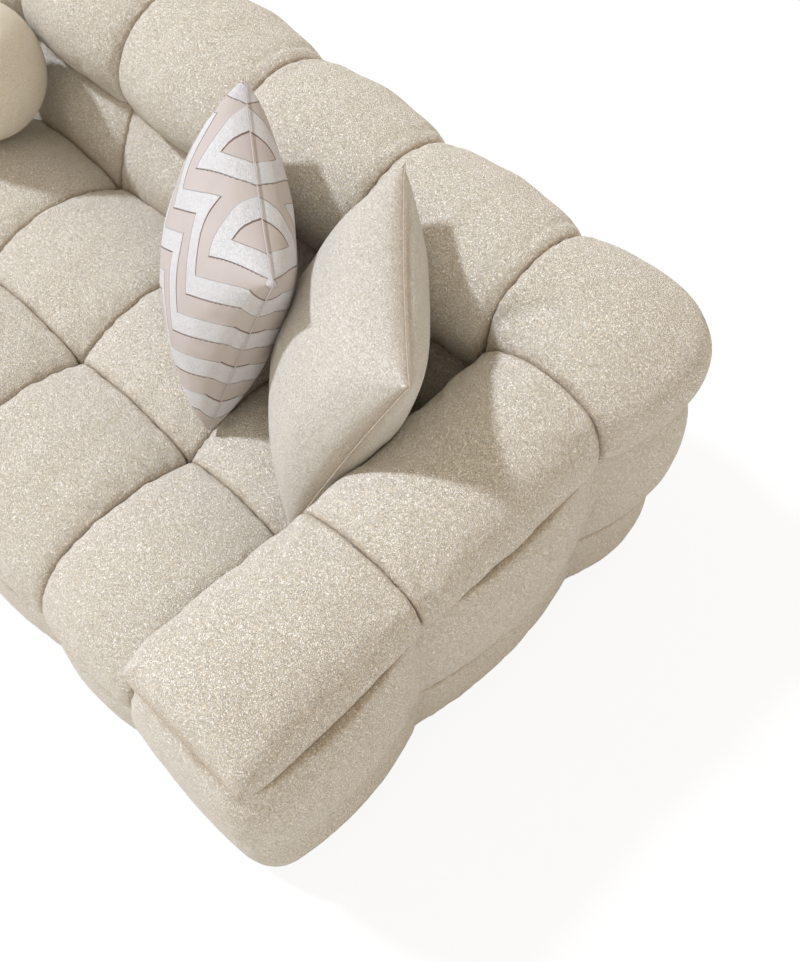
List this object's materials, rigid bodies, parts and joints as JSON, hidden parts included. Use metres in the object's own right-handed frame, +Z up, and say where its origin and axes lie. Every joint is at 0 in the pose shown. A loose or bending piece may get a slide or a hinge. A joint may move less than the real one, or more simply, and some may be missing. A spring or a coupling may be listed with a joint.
{
  "type": "tuxedo sofa",
  "caption": "Low tuxedo sofa with arms nearly as high as the back, upholstered all over in tufted rounded puffs, with two square throw cushions and a ball cushion.",
  "frame": {"origin": "on the floor, under the centre of the bounding box", "axes": "+X along the sofa to the sitter's left hand, +Y from the front to the back, +Z up"},
  "size_m": [2.3758, 1.1865, 0.8509],
  "materials": {
    "boucle_seat": "cream bouclé, matt looped pile",
    "boucle_back": "cream bouclé, matt looped pile",
    "boucle_arms": "cream bouclé, matt looped pile",
    "patterned_weave": "white raised terry bands on greige ground",
    "cushion_boucle": "cream bouclé with a fine welt",
    "ball_knit": "sheared cream knit",
    "foam": "open-cell polyurethane foam",
    "spring_steel": "bright zinc plated wire and strip",
    "platform_felt": "needled felt",
    "dust_cloth": "black non-woven cloth",
    "foot_plastic": "black moulded plastic",
    "hardwood": "sawn hardwood, unfinished"
  },
  "bodies": {
    "sofa": {"arm_foam_left": "foam", "arm_foam_right": "foam", "arm_front_top_puff_left": "boucle_arms", "arm_front_top_puff_right": "boucle_arms", "arm_inner_pads_left": "boucle_arms", "arm_inner_pads_right": "boucle_arms", "arm_middle_top_puff_left": "boucle_arms", "arm_middle_top_puff_right": "boucle_arms", "arm_posts": "hardwood", "arm_top_rails": "hardwood", "back_bottom_band": "boucle_back", "back_foam": "foam", "back_lower_puff_1": "boucle_back", "back_lower_puff_2": "boucle_back", "back_lower_puff_3": "boucle_back", "back_lower_puff_4": "boucle_back", "back_lower_puff_5": "boucle_back", "back_middle_band": "boucle_back", "back_posts": "hardwood", "back_top_puff_1": "boucle_back", "back_top_puff_2": "boucle_back", "back_top_puff_3": "boucle_back", "back_top_puff_4": "boucle_back", "back_top_puff_5": "boucle_back", "back_top_rail": "hardwood", "base_back_rail": "hardwood", "base_cross_rails": "hardwood", "base_front_rail": "hardwood", "base_side_rail_left": "hardwood", "base_side_rail_right": "hardwood", "corner_blocks": "hardwood", "corner_top_puff_left": "boucle_arms", "corner_top_puff_right": "boucle_arms", "dust_cover": "dust_cloth", "feet": "foot_plastic", "foot_screws": "spring_steel", "front_bottom_band": "boucle_arms", "seat_front_puff_1": "boucle_seat", "seat_front_puff_2": "boucle_seat", "seat_front_puff_3": "boucle_seat", "seat_front_puff_4": "boucle_seat", "seat_front_puff_5": "boucle_seat", "seat_platform": "platform_felt", "seat_rear_puff_1": "boucle_seat", "seat_rear_puff_2": "boucle_seat", "seat_rear_puff_3": "boucle_seat", "seat_rear_puff_4": "boucle_seat", "seat_rear_puff_5": "boucle_seat", "seat_rear_rail": "hardwood", "seat_springs": "spring_steel", "side_bottom_band_left": "boucle_arms", "side_bottom_band_right": "boucle_arms", "side_middle_band_left": "boucle_arms", "side_middle_band_right": "boucle_arms", "spring_clips": "spring_steel"},
    "patterned_throw": {"patterned_cushion": "patterned_weave"},
    "plain_throw": {"plain_cushion": "cushion_boucle"},
    "ball_throw": {"ball_cushion": "ball_knit"}
  },
  "joints": [
    {"name": "lift_patterned_cushion", "type": "slide", "parent": "sofa", "child": "patterned_throw", "axis": [-0.2, -0.2999, 0.9328], "range_m": [0, 0.5]},
    {"name": "lift_plain_cushion", "type": "slide", "parent": "sofa", "child": "plain_throw", "axis": [0.2501, 0.2501, 0.9354], "range_m": [0, 0.5]},
    {"name": "lift_ball_cushion", "type": "slide", "parent": "sofa", "child": "ball_throw", "axis": [0, -0.15, 0.9887], "range_m": [0, 0.4]}
  ]
}
